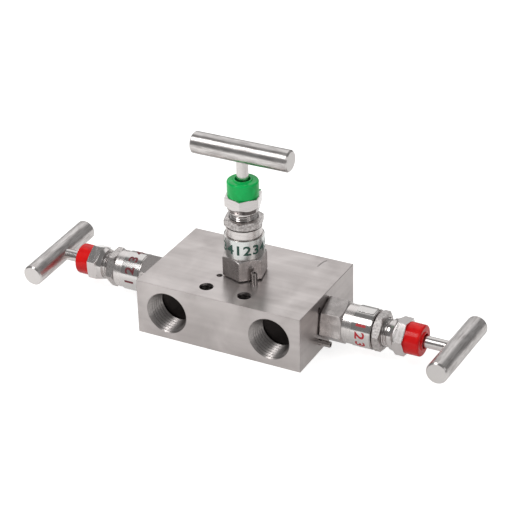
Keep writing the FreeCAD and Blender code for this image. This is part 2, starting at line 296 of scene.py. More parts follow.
def finishSteel(tree, output, colour, roughness, height, depth, anisotropy=0.0, tangent=None):
    # the shader that every steel ends in; height is a 0 to 1 pattern and depth its size in mm
    bump = addNode(tree, "ShaderNodeBump", None, {"Height": height, "Distance": depth * mm})
    shader = addNode(tree, "ShaderNodeBsdfPrincipled", None, {
        "Base Color": colour, "Metallic": 1.0, "Roughness": roughness,
        "Anisotropic": anisotropy, "Normal": bump.outputs[0],
    })
    if tangent:
        tree.links.new(tangent, shader.inputs["Tangent"])
    tree.links.new(shader.outputs[0], output.inputs["Surface"])


# real grinding lines lie a few hundredths of a mm apart, so they are drawn coarser to show
blockFinish = {
    "pale": "D6CFCD", "dull": "BFB8B6", "paleFrom": 0.5, "paleTo": 0.95,
    "roughest": 0.38, "smoothest": 0.27, "roughFrom": 0.45, "roughTo": 1.0,
    "cloudSize": 17.0, "streakSize": 4.0, "streakShare": 0.45,
    "lineSpacing": 0.45, "lineStretch": 0.03, "lineDepth": 0.0016, "anisotropy": 0.65,
    "endTilt": 0.72, "cornerTilt": 1.3, "cornerRoughness": 0.62,
    # the bores' grey is painted shade, far darker than the ground faces
    "boreColour": "5A5452", "boreRoughness": 0.3, "boreRadius": 10.45, "boreDepth": 1.0,
    "boreRing": 0.7, "boreRingDepth": 0.08,
}


def groundBlockSteel():
    # Stainless plate, surface ground along X on the long faces and along Y on the ends. Grinding
    # draws reflections out across its lines; handling leaves the face slightly cloudy.
    look = blockFinish
    material, tree, output = newMaterial("surface-ground stainless block")
    coordinates = addNode(tree, "ShaderNodeTexCoord")
    place = addNode(tree, "ShaderNodeVectorMath", {"operation": "SCALE"}, {
        0: coordinates.outputs["Object"], "Scale": 1 / mm,
    }).outputs[0]
    facing = addNode(tree, "ShaderNodeSeparateXYZ", None, {0: coordinates.outputs["Normal"]})
    endwards = addNode(tree, "ShaderNodeMath", {"operation": "ABSOLUTE"}, {0: facing.outputs["X"]})
    onEnd = addNode(tree, "ShaderNodeMath", {"operation": "GREATER_THAN"}, {
        0: endwards.outputs[0], 1: look["endTilt"],
    })
    alongX = addNode(tree, "ShaderNodeVectorMath", {"operation": "MULTIPLY"}, {
        0: place, 1: (look["lineStretch"], 1, 1),
    })
    alongY = addNode(tree, "ShaderNodeVectorMath", {"operation": "MULTIPLY"}, {
        0: place, 1: (1, look["lineStretch"], 1),
    })
    grain = addNode(tree, "ShaderNodeMix", {"data_type": "VECTOR"}, {
        0: onEnd.outputs[0], 4: alongX.outputs[0], 5: alongY.outputs[0],
    }).outputs[1]
    lines = addNode(tree, "ShaderNodeTexNoise", None, {
        "Vector": grain, "Scale": 1 / look["lineSpacing"], "Detail": 3.0, "Roughness": 0.6,
    })
    streaks = addNode(tree, "ShaderNodeTexNoise", None, {
        "Vector": grain, "Scale": 1 / look["streakSize"], "Detail": 2.0,
    })
    clouds = addNode(tree, "ShaderNodeTexNoise", None, {
        "Vector": place, "Scale": 1 / look["cloudSize"], "Detail": 4.0, "Distortion": 0.6,
    })
    mixed = addNode(tree, "ShaderNodeMath", {"operation": "MULTIPLY_ADD"}, {
        0: streaks.outputs[0], 1: look["streakShare"], 2: clouds.outputs[0],
    })
    spread = addNode(tree, "ShaderNodeMapRange", None, {
        "Value": mixed.outputs[0], "From Min": look["paleFrom"], "From Max": look["paleTo"],
    })
    faceColour = addNode(tree, "ShaderNodeMix", {"data_type": "RGBA"}, {
        0: spread.outputs[0], 6: hexColour(look["dull"]), 7: hexColour(look["pale"]),
    })
    faceRoughness = addNode(tree, "ShaderNodeMapRange", None, {
        "Value": mixed.outputs[0], "From Min": look["roughFrom"], "From Max": look["roughTo"],
        "To Min": look["roughest"], "To Max": look["smoothest"],
    })
    # the ports' walls and drill points are painted darker, as painted shade inside the bores, and keep their own
    # roughness
    inBore, fromAxis = boreMask(tree, place)
    colour = addNode(tree, "ShaderNodeMix", {"data_type": "RGBA"}, {
        0: inBore, 6: faceColour.outputs[2], 7: hexColour(look["boreColour"]),
    })
    groundRoughness = addNode(tree, "ShaderNodeMix", {"data_type": "FLOAT"}, {
        0: inBore, 2: faceRoughness.outputs[0], 3: look["boreRoughness"],
    })
    # the corners are broken with a file, which leaves them matt
    sizes = addNode(tree, "ShaderNodeVectorMath", {"operation": "ABSOLUTE"}, {
        0: coordinates.outputs["Normal"],
    })
    slant = addNode(tree, "ShaderNodeVectorMath", {"operation": "DOT_PRODUCT"}, {
        0: sizes.outputs[0], 1: (1, 1, 1),
    })
    onCorner = addNode(tree, "ShaderNodeMath", {"operation": "GREATER_THAN"}, {
        0: slant.outputs["Value"], 1: look["cornerTilt"],
    })
    roughness = addNode(tree, "ShaderNodeMix", {"data_type": "FLOAT"}, {
        0: onCorner.outputs[0], 2: groundRoughness.outputs[0], 3: look["cornerRoughness"],
    })
    lineDirection = addNode(tree, "ShaderNodeMix", {"data_type": "VECTOR"}, {
        0: onEnd.outputs[0], 4: (1, 0, 0), 5: (0, 1, 0),
    })
    surface = addNode(tree, "ShaderNodeNewGeometry")
    across = addNode(tree, "ShaderNodeVectorMath", {"operation": "CROSS_PRODUCT"}, {
        0: surface.outputs["Normal"], 1: lineDirection.outputs[1],
    })
    # the drill leaves rings round a port's axis, far coarser than the grinding lines
    rings = addNode(tree, "ShaderNodeTexNoise", {"noise_dimensions": "1D"}, {
        "W": fromAxis, "Scale": 1 / look["boreRing"], "Detail": 2.0,
    })
    coarse = addNode(tree, "ShaderNodeMath", {"operation": "MULTIPLY"}, {
        0: rings.outputs[0], 1: look["boreRingDepth"] / look["lineDepth"],
    })
    relief = addNode(tree, "ShaderNodeMix", {"data_type": "FLOAT"}, {
        0: inBore, 2: lines.outputs[0], 3: coarse.outputs[0],
    })
    scored = addNode(tree, "ShaderNodeMath", {"operation": "MULTIPLY_ADD"}, {
        0: scratchMask(tree, place), 1: -scratch["depth"] / look["lineDepth"], 2: relief.outputs[0],
    })
    finishSteel(
        tree, output, colour.outputs[2], roughness.outputs[0], scored.outputs[0], look["lineDepth"],
        look["anisotropy"], across.outputs[0],
    )
    return material


scratch = {
    "centre": (42.9, 20.2, 28.0), "radius": 14.2, "width": 0.42, "depth": 0.22,
    "from": 19.0, "fadeIn": 1.0, "to": 28.5, "fadeOut": 4.0,
}


def scratchMask(tree, place):
    # one faint curved scratch on the block's top, near its back right corner: the left half of a
    # circle, between two places along Y
    away = addNode(tree, "ShaderNodeVectorMath", {"operation": "DISTANCE"}, {
        0: place, 1: scratch["centre"],
    })
    offLine = addNode(tree, "ShaderNodeMath", {"operation": "SUBTRACT"}, {
        0: away.outputs["Value"], 1: scratch["radius"],
    })
    fromLine = addNode(tree, "ShaderNodeMath", {"operation": "ABSOLUTE"}, {0: offLine.outputs[0]})
    split = addNode(tree, "ShaderNodeSeparateXYZ", None, {0: place})
    mask = addNode(tree, "ShaderNodeMath", {"operation": "LESS_THAN"}, {
        0: split.outputs["X"], 1: scratch["centre"][0],
    })
    for value, outside, inside in (
        (fromLine.outputs[0], scratch["width"], 0.0),
        (split.outputs["Y"], scratch["from"], scratch["from"] + scratch["fadeIn"]),
        (split.outputs["Y"], scratch["to"], scratch["to"] - scratch["fadeOut"]),
    ):
        fade = addNode(tree, "ShaderNodeMapRange", {"interpolation_type": "SMOOTHSTEP"}, {
            "Value": value, "From Min": outside, "From Max": inside,
        })
        mask = addNode(tree, "ShaderNodeMath", {"operation": "MULTIPLY"}, {
            0: mask.outputs[0], 1: fade.outputs[0],
        })
    return mask.outputs[0]


def boreMask(tree, place):
    # 1 inside the four pipe ports, found from the port spacing and the block's middle height,
    # and the distance from a port's axis
    low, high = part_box("valve_block")
    split = addNode(tree, "ShaderNodeSeparateXYZ", None, {0: place})
    sideways = addNode(tree, "ShaderNodeMath", {"operation": "ABSOLUTE"}, {0: split.outputs["X"]})
    offAxis = addNode(tree, "ShaderNodeCombineXYZ", None, {
        "X": sideways.outputs[0], "Z": split.outputs["Z"],
    })
    axis = Vector((ports["spacing"] / 2, 0, (low[2] + high[2]) / 2 / mm))
    away = addNode(tree, "ShaderNodeVectorMath", {"operation": "DISTANCE"}, {
        0: offAxis.outputs[0], 1: axis,
    })
    within = addNode(tree, "ShaderNodeMath", {"operation": "LESS_THAN"}, {
        0: away.outputs["Value"], 1: blockFinish["boreRadius"],
    })
    fromMiddle = addNode(tree, "ShaderNodeMath", {"operation": "ABSOLUTE"}, {0: split.outputs["Y"]})
    deep = addNode(tree, "ShaderNodeMath", {"operation": "LESS_THAN"}, {
        0: fromMiddle.outputs[0], 1: high[1] / mm - blockFinish["boreDepth"],
    })
    both = addNode(tree, "ShaderNodeMath", {"operation": "MULTIPLY"}, {
        0: within.outputs[0], 1: deep.outputs[0],
    })
    return both.outputs[0], away.outputs["Value"]


# a turning tool's rings lie about 0.1 mm apart, so they are drawn coarser to show
turnedFinish = {
    "barrel": {"pale": "E8E3E1", "dull": "D6D0CE", "roughest": 0.32, "smoothest": 0.2},
    "hexagon": {"pale": "D9D3D1", "dull": "B2ACAA", "roughest": 0.36, "smoothest": 0.22},
    "gland": {"pale": "DEDAD8", "dull": "C8C2C1", "roughest": 0.2, "smoothest": 0.08},
    "nut": {"pale": "E2DDDB", "dull": "9A9492", "roughest": 0.46, "smoothest": 0.28},
    "ringSpacing": 0.35, "ringStretch": 0.05, "ringDepth": 0.0012,
    "blotchSize": 3.2, "nutBlotch": 0.9, "nutDepth": 0.0028,
}


def turnedSteel(name, turnedLook, milledLook, milledBelow, blotchSize, depth):
    # Bar stock turned on a lathe: fine rings round the axis, bright where finished, and duller,
    # blotchy flats where the hexagon of the bar is left as drawn.
    rough = turnedFinish[milledLook]
    bright = turnedFinish[turnedLook]
    material, tree, output = newMaterial(name)
    place = placeInMm(tree)
    height = addNode(tree, "ShaderNodeSeparateXYZ", None, {0: place}).outputs["Z"]
    onHexagon = addNode(tree, "ShaderNodeMath", {"operation": "LESS_THAN"}, {
        0: height, 1: milledBelow,
    })
    ringPlace = addNode(tree, "ShaderNodeVectorMath", {"operation": "MULTIPLY"}, {
        0: place, 1: (turnedFinish["ringStretch"], turnedFinish["ringStretch"], 1),
    })
    rings = addNode(tree, "ShaderNodeTexNoise", None, {
        "Vector": ringPlace.outputs[0], "Scale": 1 / turnedFinish["ringSpacing"], "Detail": 2.0,
    })
    blotches = addNode(tree, "ShaderNodeTexNoise", None, {
        "Vector": place, "Scale": 1 / blotchSize, "Detail": 4.0, "Roughness": 0.6,
    })
    wear = addNode(tree, "ShaderNodeMapRange", None, {
        "Value": blotches.outputs[0], "From Min": noiseLow, "From Max": noiseHigh,
    })
    milledColour, milledRoughness = steelTone(tree, rough, blotches.outputs[0], wear.outputs[0])
    brightColour, brightRoughness = steelTone(tree, bright, rings.outputs[0])
    colour = addNode(tree, "ShaderNodeMix", {"data_type": "RGBA"}, {
        0: onHexagon.outputs[0], 6: brightColour, 7: milledColour,
    })
    roughness = addNode(tree, "ShaderNodeMix", {"data_type": "FLOAT"}, {
        0: onHexagon.outputs[0], 2: brightRoughness, 3: milledRoughness,
    })
    relief = addNode(tree, "ShaderNodeMix", {"data_type": "FLOAT"}, {
        0: onHexagon.outputs[0], 2: rings.outputs[0], 3: blotches.outputs[0],
    })
    finishSteel(
        tree, output, colour.outputs[2], roughness.outputs[0], relief.outputs[0], depth,
    )
    return material


# a polishing belt's streaks are finer than 0.1 mm, so they are drawn coarser to show
barFinish = {
    "pale": "DCD8D6", "dull": "B4AFAD", "paleFrom": 0.78, "paleTo": 1.12,
    "streakWidth": 0.3, "streakStretch": 0.03, "blotchSize": 2.2, "blotchStretch": 0.3,
    "roughest": 0.42, "smoothest": 0.26, "streakDepth": 0.0012, "anisotropy": 0.6,
    "halfLength": 24.4, "endWear": 0.8, "endRoughness": 0.3,
}


def polishedBarSteel(name, ownFrame):
    # Bright drawn bar, polished along its length: long thin streaks that run end to end, so its
    # reflections stay crisp round the bar and smear along it.
    material, tree, output = newMaterial(name)
    place = placeInMm(tree, ownFrame)
    drawn = addNode(tree, "ShaderNodeVectorMath", {"operation": "MULTIPLY"}, {
        0: place, 1: (1, 1, barFinish["streakStretch"]),
    })
    streaks = addNode(tree, "ShaderNodeTexNoise", None, {
        "Vector": drawn.outputs[0], "Scale": 1 / barFinish["streakWidth"],
        "Detail": 3.0, "Roughness": 0.65,
    })
    smudged = addNode(tree, "ShaderNodeVectorMath", {"operation": "MULTIPLY"}, {
        0: place, 1: (1, 1, barFinish["blotchStretch"]),
    })
    blotches = addNode(tree, "ShaderNodeTexNoise", None, {
        "Vector": smudged.outputs[0], "Scale": 1 / barFinish["blotchSize"], "Detail": 3.0,
    })
    worn = addNode(tree, "ShaderNodeMath", {"operation": "ADD"}, {
        0: streaks.outputs[0], 1: blotches.outputs[0],
    })
    spread = addNode(tree, "ShaderNodeMapRange", None, {
        "Value": worn.outputs[0], "From Min": barFinish["paleFrom"], "From Max": barFinish["paleTo"],
    })
    # the sawn and faced ends are plain
    alongBar = addNode(tree, "ShaderNodeSeparateXYZ", None, {0: place}).outputs["Z"]
    fromMiddle = addNode(tree, "ShaderNodeMath", {"operation": "ABSOLUTE"}, {0: alongBar})
    onEnd = addNode(tree, "ShaderNodeMath", {"operation": "GREATER_THAN"}, {
        0: fromMiddle.outputs[0], 1: barFinish["halfLength"],
    })
    pattern = addNode(tree, "ShaderNodeMix", {"data_type": "FLOAT"}, {
        0: onEnd.outputs[0], 2: spread.outputs[0], 3: barFinish["endWear"],
    })
    colour, drawnRoughness = steelTone(tree, barFinish, streaks.outputs[0], pattern.outputs[0])
    roughness = addNode(tree, "ShaderNodeMix", {"data_type": "FLOAT"}, {
        0: onEnd.outputs[0], 2: drawnRoughness, 3: barFinish["endRoughness"],
    })
    axis = ownFrame.to_3x3() @ Vector((0, 0, 1))
    along = addNode(tree, "ShaderNodeVectorTransform", {
        "vector_type": "VECTOR", "convert_from": "OBJECT", "convert_to": "WORLD",
    }, {0: axis.normalized()})
    finishSteel(
        tree, output, colour, roughness.outputs[0], pattern.outputs[0],
        barFinish["streakDepth"], barFinish["anisotropy"], along.outputs[0],
    )
    return material


smallSteels = {
    "spindle_steel": {"name": "rolled stainless spindle", "pale": "E2DEDC", "dull": "C4BFBD",
                      "roughest": 0.26, "smoothest": 0.14, "grain": 0.6, "depth": 0.001},
    "pin_steel": {"name": "rolled spring pin", "pale": "CFCAC8", "dull": "9C9795",
                  "roughest": 0.34, "smoothest": 0.2, "grain": 0.5, "depth": 0.002},
    "screw_steel": {"name": "blackened grub screw", "pale": "5E5C5E", "dull": "2E2D2F",
                    "roughest": 0.5, "smoothest": 0.35, "grain": 0.4, "depth": 0.002},
}


def smallSteel(look):
    # Small steel parts: a fine uneven sheen is all that shows at their size
    material, tree, output = newMaterial(look["name"])
    coordinates = addNode(tree, "ShaderNodeTexCoord").outputs["Object"]
    grain = addNode(tree, "ShaderNodeTexNoise", None, {
        "Vector": coordinates, "Scale": 1 / (look["grain"] * mm), "Detail": 3.0,
    })
    colour, roughness = steelTone(tree, look, grain.outputs[0])
    finishSteel(tree, output, colour, roughness, grain.outputs[0], look["depth"])
    return material


softFinishes = {
    "graphite": {"name": "pressed graphite packing", "pale": "3A3A3D", "dull": "1C1C1E",
                 "roughness": 0.55, "grain": 0.35, "depth": 0.02},
    "ptfe": {"name": "machined white ptfe", "pale": "EFEFEA", "dull": "DEDED8",
             "roughness": 0.45, "grain": 0.8, "depth": 0.004},
}


def softFinish(look):
    # Seal materials inside the valves: graphite flakes catch the light, ptfe is waxy
    material, tree, output = newMaterial(look["name"])
    coordinates = addNode(tree, "ShaderNodeTexCoord").outputs["Object"]
    grain = addNode(tree, "ShaderNodeTexNoise", None, {
        "Vector": coordinates, "Scale": 1 / (look["grain"] * mm), "Detail": 4.0,
    })
    colour = addNode(tree, "ShaderNodeMix", {"data_type": "RGBA"}, {
        0: grain.outputs[0], 6: hexColour(look["dull"]), 7: hexColour(look["pale"]),
    })
    bump = addNode(tree, "ShaderNodeBump", None, {
        "Height": grain.outputs[0], "Distance": look["depth"] * mm,
    })
    shader = addNode(tree, "ShaderNodeBsdfPrincipled", None, {
        "Base Color": colour.outputs[2], "Roughness": look["roughness"], "Normal": bump.outputs[0],
    })
    tree.links.new(shader.outputs[0], output.inputs["Surface"])
    return material


capFinishes = {
    "red_cap": {"name": "moulded red polyethylene cap", "pale": "EC1A18", "deep": "CC0A14"},
    "green_cap": {"name": "moulded green polyethylene cap", "pale": "12CA66", "deep": "04AC50"},
    "flowSize": 6.0, "orangePeel": 0.7, "peelDepth": 0.003, "roughness": 0.15, "shine": 0.25,
}


def mouldedCap(look):
    # Injection-moulded polyethylene: even strong colour, a soft gloss and faint flow marks
    material, tree, output = newMaterial(look["name"])
    place = placeInMm(tree)
    flow = addNode(tree, "ShaderNodeTexNoise", None, {
        "Vector": place, "Scale": 1 / capFinishes["flowSize"], "Detail": 3.0, "Distortion": 0.8,
    })
    spread = addNode(tree, "ShaderNodeMapRange", None, {
        "Value": flow.outputs[0], "From Min": noiseLow, "From Max": noiseHigh,
    })
    colour = addNode(tree, "ShaderNodeMix", {"data_type": "RGBA"}, {
        0: spread.outputs[0], 6: hexColour(look["deep"]), 7: hexColour(look["pale"]),
    })
    peel = addNode(tree, "ShaderNodeTexNoise", None, {
        "Vector": place, "Scale": 1 / capFinishes["orangePeel"], "Detail": 2.0,
    })
    bump = addNode(tree, "ShaderNodeBump", None, {
        "Height": peel.outputs[0], "Distance": capFinishes["peelDepth"] * mm,
    })
    shader = addNode(tree, "ShaderNodeBsdfPrincipled", None, {
        "Base Color": colour.outputs[2], "Roughness": capFinishes["roughness"],
        "Specular IOR Level": capFinishes["shine"], "Normal": bump.outputs[0],
    })
    tree.links.new(shader.outputs[0], output.inputs["Surface"])
    return material


bandFinish = {
    "equalise": {"pale": "EAECEA", "dull": "D6D8D6", "roughness": 0.2},
    "isolate": {"pale": "E0DDDB", "dull": "CFCCCA", "roughness": 0.14},
    "grain": 0.5, "grainStretch": 0.1, "depth": 0.0008,
}


def sleeveSteel(kind):
    # Thin stainless sleeve, polished brighter than the barrel that it is pressed on
    look = bandFinish[kind]
    material, tree, output = newMaterial("polished stainless sleeve " + kind)
    place = placeInMm(tree)
    stretched = addNode(tree, "ShaderNodeVectorMath", {"operation": "MULTIPLY"}, {
        0: place, 1: (bandFinish["grainStretch"], bandFinish["grainStretch"], 1),
    })
    grain = addNode(tree, "ShaderNodeTexNoise", None, {
        "Vector": stretched.outputs[0], "Scale": 1 / bandFinish["grain"], "Detail": 2.0,
    })
    colour = addNode(tree, "ShaderNodeMix", {"data_type": "RGBA"}, {
        0: grain.outputs[0], 6: hexColour(look["dull"]), 7: hexColour(look["pale"]),
    })
    finishSteel(
        tree, output, colour.outputs[2], look["roughness"], grain.outputs[0], bandFinish["depth"]
    )
    return material


inkFinishes = {
    # the left valve's ink is the right valve's red painted darker: painted shade on the same print
    "isolate_left": "6E1420", "isolate_right": "C4202C", "equalise": "0E4A3C",
    "grain": 0.25, "wornFrom": 0.5, "wornTo": 0.8, "worn": 0.25, "roughness": 0.45,
}


def printedInk(valve):
    # Fired printing ink: flat colour that thins a little in specks
    material, tree, output = newMaterial("printing ink " + valve)
    coordinates = addNode(tree, "ShaderNodeTexCoord").outputs["Object"]
    specks = addNode(tree, "ShaderNodeTexNoise", None, {
        "Vector": coordinates, "Scale": 1 / (inkFinishes["grain"] * mm), "Detail": 3.0,
    })
    fade = addNode(tree, "ShaderNodeMapRange", None, {
        "Value": specks.outputs[0], "From Min": inkFinishes["wornFrom"],
        "From Max": inkFinishes["wornTo"], "To Max": inkFinishes["worn"],
    })
    colour = addNode(tree, "ShaderNodeMix", {"data_type": "RGBA"}, {
        0: fade.outputs[0], 6: hexColour(inkFinishes[valve]),
        7: hexColour(bandFinish["isolate"]["dull"]),
    })
    shader = addNode(tree, "ShaderNodeBsdfPrincipled", None, {
        "Base Color": colour.outputs[2], "Roughness": inkFinishes["roughness"],
    })
    tree.links.new(shader.outputs[0], output.inputs["Surface"])
    return material


threadFinishes = {
    "thread": {"name": "tapped stainless pipe thread", "pale": "BDB8B6", "dull": "8C8684",
               "roughest": 0.4, "smoothest": 0.27, "grain": 0.8, "depth": 0.002},
    # the blind holes' thread is painted near black: painted shade deep in the holes
    "dark_thread": {"name": "oily tapped blind thread", "pale": "4A4644", "dull": "242120",
                    "roughest": 0.42, "smoothest": 0.25, "grain": 0.6, "depth": 0.002},
}


def tappedSteel(look):
    # Cut thread: bright flanks with torn, darker patches where the tap dragged
    material, tree, output = newMaterial(look["name"])
    place = placeInMm(tree)
    tears = addNode(tree, "ShaderNodeTexNoise", None, {
        "Vector": place, "Scale": 1 / look["grain"], "Detail": 3.0,
    })
    colour, roughness = steelTone(tree, look, tears.outputs[0])
    finishSteel(tree, output, colour, roughness, tears.outputs[0], look["depth"])
    return material


# Valves: how each piece is turned round the valve's own axis in degrees, where its sleeve starts,
# and which numbers the sleeve has

valves = {
    "isolate_left": {
        "tilt": -90.0, "hexCorner": 2.5, "nutCorner": 24.0, "glandCorner": -5.0, "barAngle": 87.8,
        "bandStart": 11.8, "firstNumber": -96.5, "numberPlaces": 10, "barePlaces": (6, 9),
        "lapAngle": 119.5, "barrelNeck": 9.15, "cap": "red_cap", "sleeve": "band",
    },
    "isolate_right": {
        "tilt": 90.0, "hexCorner": 50.0, "nutCorner": 23.0, "glandCorner": 21.8, "barAngle": 87.1,
        "bandStart": 15.9, "firstNumber": -122.9, "numberPlaces": 12, "barePlaces": (10, 11),
        "lapAngle": -184.0, "barrelNeck": 9.3, "cap": "red_cap", "sleeve": "band",
    },
    "equalise": {
        "tilt": 0.0, "hexCorner": 43.0, "nutCorner": 44.0, "glandCorner": 46.0, "barAngle": 0.0,
        "bandStart": 11.7, "firstNumber": -80.0, "numberPlaces": 14, "barePlaces": (6, 7, 8),
        "lapAngle": 100.0, "barrelNeck": 8.65, "cap": "green_cap", "sleeve": "pale_band",
    },
}


def valveFrame(name):
    # from a valve's own axes in mm, Z outwards from the block's face, to the part in metres
    foot = Vector(joints[name + "_turn"]["pos_m"])
    tilt = Matrix.Rotation(radians(valves[name]["tilt"]), 4, "Y")
    return Matrix.Translation(foot) @ tilt @ Matrix.Scale(mm, 4)


# two edges meet sharply above this angle
creaseAngle = radians(24)
# what a cut counts as lying on its plane, and how close points are joined, in mm
cutTolerance = 1e-5
turnWeld = 1e-4


def turnedPiece(outline, steps=96):
    # a full turn round Z of a closed outline of (radius, height) corners in mm
    bm = bmesh.new()
    corners = [bm.verts.new((radius, 0, height)) for radius, height in outline]
    edges = [bm.edges.new(pair) for pair in zip(corners, corners[1:] + corners[:1])]
    bmesh.ops.spin(
        bm, geom=corners + edges, cent=(0, 0, 0), axis=(0, 0, 1),
        angle=fullTurn, steps=steps, use_merge=True,
    )
    bmesh.ops.remove_doubles(bm, verts=bm.verts, dist=turnWeld)
    bmesh.ops.recalc_face_normals(bm, faces=bm.faces)
    return bm


def pastCorners(flats):
    # a radius just outside the corners of a hexagon
    return flats / math.sqrt(3) + 0.1


def chamferDrop(run, slope):
    # how far a chamfer of this slope in degrees falls over a run
    return run * math.tan(radians(slope))


def planeFlats(bm, flats, cornerAngle):
    # cuts the six flats of a hexagon into whatever stands out past them
    for side in range(6):
        turn = radians(cornerAngle + 30 + 60 * side)
        outwards = Vector((math.cos(turn), math.sin(turn), 0))
        cut = bmesh.ops.bisect_plane(
            bm, geom=bm.verts[:] + bm.edges[:] + bm.faces[:], dist=cutTolerance,
            plane_co=outwards * flats / 2, plane_no=outwards, clear_outer=True,
        )
        rim = [item for item in cut["geom_cut"] if isinstance(item, bmesh.types.BMEdge)]
        bmesh.ops.edgeloop_fill(bm, edges=rim)
    bmesh.ops.recalc_face_normals(bm, faces=bm.faces)


def markPlace(bm):
    # keeps each point's place in the piece's own axes, in mm, for its finish
    layer = bm.verts.layers.float_vector.new("place")
    for vert in bm.verts:
        vert[layer] = vert.co


def keepPiece(bm, name, ownFrame, material, body, replaced=(), edgeWidth=0.12):
    # puts the mesh in its place on the part and breaks its sharp edges, or with no edgeWidth
    # only marks them as sharp
    if "place" not in bm.verts.layers.float_vector:
        markPlace(bm)
    bmesh.ops.transform(bm, matrix=ownFrame, verts=bm.verts)
    if not edgeWidth:
        for edge in bm.edges:
            edge.smooth = edge.calc_face_angle(0) < creaseAngle
    mesh = bpy.data.meshes.new(name)
    bm.to_mesh(mesh)
    bm.free()
    mesh.polygons.foreach_set("use_smooth", [True] * len(mesh.polygons))
    mesh.materials.append(material)
    piece = bpy.data.objects.new(name, mesh)
    bpy.context.scene.collection.objects.link(piece)
    if edgeWidth:
        softEdge = piece.modifiers.new("broken edge", "BEVEL")
        softEdge.width = edgeWidth * mm
        softEdge.segments = 2
        softEdge.limit_method = "ANGLE"
        softEdge.angle_limit = creaseAngle
        softEdge.harden_normals = True
        softEdge.use_clamp_overlap = False
    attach(piece, body)
    if replaced:
        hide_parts(*replaced)


# Bonnet: hexagon over the block's face, then the turned barrel with its end bore

bonnet = {
    "shankEnd": -10.2, "shankRadius": 7.95, "hexStart": 0.6, "hexEnd": 11.2, "hexFlats": 19.0,
    "barrelEnd": 25.8, "barrelRadius": 9.35, "boreRadius": 6.95, "stemBore": 3.05, "boreDepth": 12.8,
    "shoulderDrop": 0.35, "shortestNeck": 1.0,
    "cornerInset": 0.3, "cornerSlope": 30.0, "endBreak": 0.2, "edgeWidth": 0.15,
}


def makeBonnet(name, material):
    size = bonnet
    reach = pastCorners(size["hexFlats"])
    rim = size["hexFlats"] / 2 - size["cornerInset"]
    # the barrel steps down a little where the sleeve ends
    sleeveEnd = valves[name]["bandStart"] + band["width"]
    step = min(sleeveEnd, size["barrelEnd"] - size["shortestNeck"]) - size["shoulderDrop"]
    neck = valves[name]["barrelNeck"]
    bm = turnedPiece([
        (size["stemBore"], size["shankEnd"]),
        (size["shankRadius"], size["shankEnd"]),
        (size["shankRadius"], size["hexStart"]),
        (reach, size["hexStart"]),
        (reach, size["hexEnd"] - chamferDrop(reach - rim, size["cornerSlope"])),
        (rim, size["hexEnd"]),
        (size["barrelRadius"], size["hexEnd"]),
        (size["barrelRadius"], step),
        (neck, step),
        (neck, size["barrelEnd"] - size["endBreak"]),
        (neck - size["endBreak"], size["barrelEnd"]),
        (size["boreRadius"], size["barrelEnd"]),
        (size["boreRadius"], size["barrelEnd"] - size["boreDepth"]),
        (size["stemBore"], size["barrelEnd"] - size["boreDepth"]),
    ])
    planeFlats(bm, size["hexFlats"], valves[name]["hexCorner"])
    keepPiece(
        bm, name + "_turned_bonnet", valveFrame(name), material, rootBody,
        [name + "_bonnet"], size["edgeWidth"],
    )


# Lock nut: hexagon with its corners turned off steeply on the outer side

lockNut = {
    "start": 25.9, "end": 30.2, "flats": 17.0, "bore": 6.95,
    "innerInset": 0.3, "innerSlope": 30.0, "outerInset": 0.5, "outerSlope": 18.0, "edgeWidth": 0.15,
}


def makeLockNut(name, material):
    size = lockNut
    reach = pastCorners(size["flats"])
    innerRim = size["flats"] / 2 - size["innerInset"]
    outerRim = size["flats"] / 2 - size["outerInset"]
    bm = turnedPiece([
        (size["bore"], size["start"]),
        (innerRim, size["start"]),
        (reach, size["start"] + chamferDrop(reach - innerRim, size["innerSlope"])),
        (reach, size["end"] - chamferDrop(reach - outerRim, size["outerSlope"])),
        (outerRim, size["end"]),
        (size["bore"], size["end"]),
    ])
    planeFlats(bm, size["flats"], valves[name]["nutCorner"])
    keepPiece(
        bm, name + "_planed_lock_nut", valveFrame(name), material, rootBody,
        [name + "_lock_nut"], size["edgeWidth"],
    )


# Gland adjuster: threaded neck, hexagon turned down to a cone on its inner side, and boss

adjuster = {
    "neckEnd": 19.0, "coreRadius": 6.3,
    "threadRadius": 6.72, "threadPitch": 1.0, "threadEnd": 33.3, "threadSink": 0.05,
    "collarStart": 33.9, "collarRadius": 7.45, "hexStart": 35.8, "hexEnd": 41.5, "flats": 16.0,
    "innerInset": 0.1, "innerSlope": 32.0, "stepOut": 0.45, "stepUp": 0.6,
    "outerInset": 0.3, "outerSlope": 12.0,
    "bossRadius": 6.3, "bossEnd": 46.5, "bore": 4.05, "topBore": 2.95, "topBoreStart": 38.1,
    "edgeWidth": 0.12,
}


def makeAdjuster(name, material):
    size = adjuster
    reach = pastCorners(size["flats"])
    rim = size["flats"] / 2 - size["innerInset"]
    # the cone runs into the flats over a short steeper step
    stepRadius = rim + size["stepOut"]
    stepEnd = size["hexStart"] + size["stepUp"]
    outerRim = size["flats"] / 2 - size["outerInset"]
    bm = turnedPiece([
        (size["bore"], size["neckEnd"]),
        (size["coreRadius"], size["neckEnd"]),
        (size["coreRadius"], size["collarStart"]),
        (size["collarRadius"], size["collarStart"]),
        (rim, size["hexStart"]),
        (stepRadius, stepEnd),
        (reach, stepEnd + chamferDrop(reach - stepRadius, size["innerSlope"])),
        (reach, size["hexEnd"] - chamferDrop(reach - outerRim, size["outerSlope"])),
        (outerRim, size["hexEnd"]),
        (size["bossRadius"], size["hexEnd"]),
        (size["bossRadius"], size["bossEnd"]),
        (size["topBore"], size["bossEnd"]),
        (size["topBore"], size["topBoreStart"]),
        (size["bore"], size["topBoreStart"]),
    ])
    planeFlats(bm, size["flats"], valves[name]["glandCorner"])
    threadLength = size["threadEnd"] - size["neckEnd"] - size["threadPitch"]
    wrapTooth(bm, size["coreRadius"] - size["threadSink"], size["threadRadius"], size["threadPitch"],
              threadLength / size["threadPitch"], size["neckEnd"] + size["threadPitch"] / 2)
    keepPiece(
        bm, name + "_machined_adjuster", valveFrame(name), material, rootBody,
        [name + "_gland_adjuster"], size["edgeWidth"],
    )


crestCorner = 0.06


